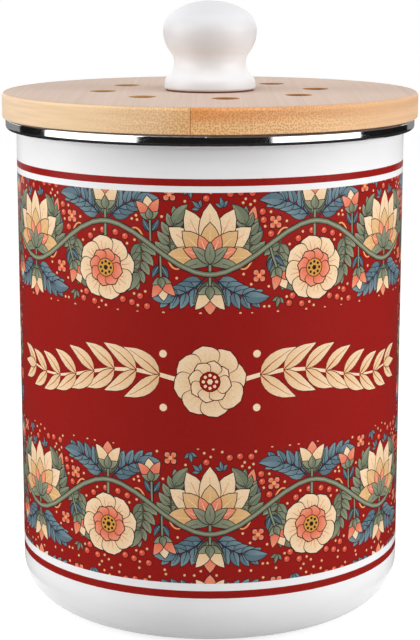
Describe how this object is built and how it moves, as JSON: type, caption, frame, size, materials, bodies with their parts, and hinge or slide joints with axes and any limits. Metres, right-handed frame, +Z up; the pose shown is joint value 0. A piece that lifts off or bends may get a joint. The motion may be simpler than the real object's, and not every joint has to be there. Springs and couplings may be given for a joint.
{
  "type": "compost caddy",
  "caption": "Round countertop compost caddy: enamelled steel canister with a bright steel rim, and a lift-off vented bamboo lid with a white knob and a charcoal filter under it.",
  "frame": {"origin": "on the floor, at the centre of the canister's base ring", "axes": "+Z up along the canister's axis; -Y is the front, where the plain printed panel is; +X to the right seen from the front"},
  "size_m": [0.17, 0.17, 0.2494],
  "materials": {
    "enamel": "gloss white vitreous enamel with a printed band",
    "bright_steel": "mirror polished",
    "silicone": "translucent white silicone",
    "bamboo": "laminated bamboo, satin oiled",
    "glazed_white": "gloss white glaze",
    "dark_rubber": "thin dark cushion",
    "brass": "machined",
    "plated_steel": "zinc plated",
    "holder_plastic": "satin moulded polypropylene",
    "charcoal_foam": "open activated-carbon foam"
  },
  "bodies": {
    "canister": {"canister_body": "enamel", "rim_band": "bright_steel"},
    "seal": {"lid_seal": "silicone"},
    "lid": {"lid_board": "bamboo", "knob": "glazed_white", "knob_cushion": "dark_rubber", "knob_insert": "brass", "knob_screw": "plated_steel", "knob_washer": "plated_steel"},
    "filter": {"filter_holder": "holder_plastic", "charcoal_filter": "charcoal_foam"}
  },
  "joints": [
    {"name": "lid_lift", "type": "slide", "parent": "canister", "child": "seal", "axis": [0, 0, 1], "range_m": [0, 0.15]},
    {"name": "lid_turn", "type": "hinge", "parent": "seal", "child": "lid", "pos_m": [0, 0, 0.203], "axis": [0, 0, 1], "continuous": true},
    {"name": "filter_pull", "type": "slide", "parent": "lid", "child": "filter", "axis": [0, 0, -1], "range_m": [0, 0.03]}
  ]
}
